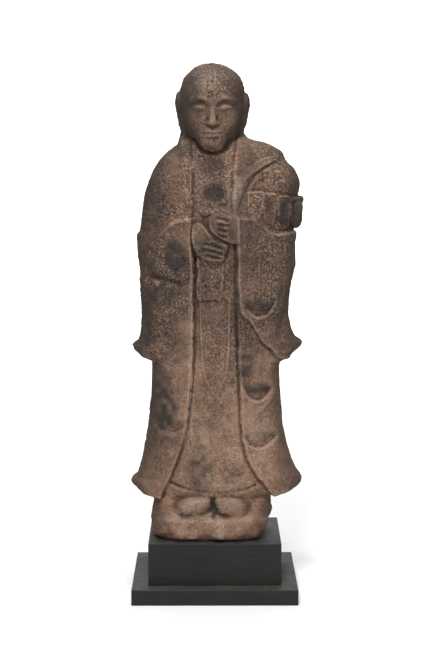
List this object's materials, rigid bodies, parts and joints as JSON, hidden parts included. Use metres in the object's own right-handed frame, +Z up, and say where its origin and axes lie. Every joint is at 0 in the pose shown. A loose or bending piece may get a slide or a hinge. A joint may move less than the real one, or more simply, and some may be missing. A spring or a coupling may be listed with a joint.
{
  "type": "stone jizo statue on a wooden plinth",
  "caption": "Standing stone jizo, a shaven-headed monk in a long robe who holds a lotus over the shoulder, carved whole with its rock base, on a stepped black wooden plinth.",
  "frame": {"origin": "centre of the plinth slab's underside", "axes": "+Z up, the figure looks along -Y, its left hand side is towards +X"},
  "size_m": [0.278, 0.22, 0.8493],
  "materials": {
    "stone": "weathered, matte",
    "black_wood": "painted, satin"
  },
  "bodies": {
    "root": {"monk_figure": "stone", "plinth_block": "black_wood", "plinth_slab": "black_wood"}
  },
  "joints": []
}
